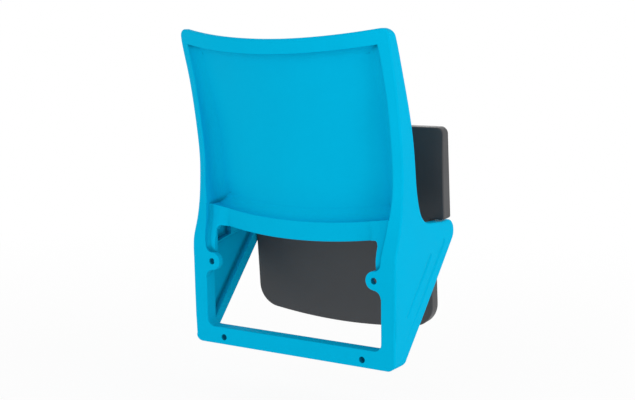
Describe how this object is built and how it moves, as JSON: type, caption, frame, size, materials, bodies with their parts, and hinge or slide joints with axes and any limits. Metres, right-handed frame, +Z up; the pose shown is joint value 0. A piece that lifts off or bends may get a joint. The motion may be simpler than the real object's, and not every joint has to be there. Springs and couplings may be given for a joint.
{
  "type": "stadium seat",
  "caption": "Riser-mounted tip-up stadium seat: moulded one-piece back shell with side arms and a folding seat pan that tips up by itself.",
  "frame": {"origin": "middle of the foot rail's lower rear edge, on the riser's face", "axes": "+X to the sitter's left, +Y back into the riser, +Z up"},
  "size_m": [0.455, 0.2868, 0.5917],
  "materials": {
    "shell_plastic": "lightly textured, satin",
    "seat_plastic": "lightly textured, satin",
    "steel": "zinc plated",
    "nylon": "smooth",
    "rubber": "matte"
  },
  "bodies": {
    "shell": {"back_shell": "shell_plastic", "left_arm_cover": "shell_plastic", "left_arm_cover_screws": "steel", "left_pivot_bush": "nylon", "left_stop_peg": "steel", "right_arm_cover": "shell_plastic", "right_arm_cover_screws": "steel", "right_pivot_bush": "nylon", "right_stop_peg": "steel"},
    "seat": {"seat_top": "seat_plastic", "seat_cover": "seat_plastic", "seat_cover_screws": "steel", "left_weight": "steel", "left_seat_hub": "nylon", "left_hub_screws": "steel", "left_pivot_pin": "steel", "left_pin_keeper": "steel", "left_keeper_screws": "steel", "left_up_buffer": "rubber", "left_down_buffer": "rubber", "right_weight": "steel", "right_seat_hub": "nylon", "right_hub_screws": "steel", "right_pivot_pin": "steel", "right_pin_keeper": "steel", "right_keeper_screws": "steel", "right_up_buffer": "rubber", "right_down_buffer": "rubber", "weight_screws": "steel"}
  },
  "joints": [
    {"name": "seat_tip", "type": "hinge", "parent": "shell", "child": "seat", "pos_m": [0, -0.199, 0.2176], "axis": [1, 0, 0], "range_deg": [0, 83.2]}
  ]
}
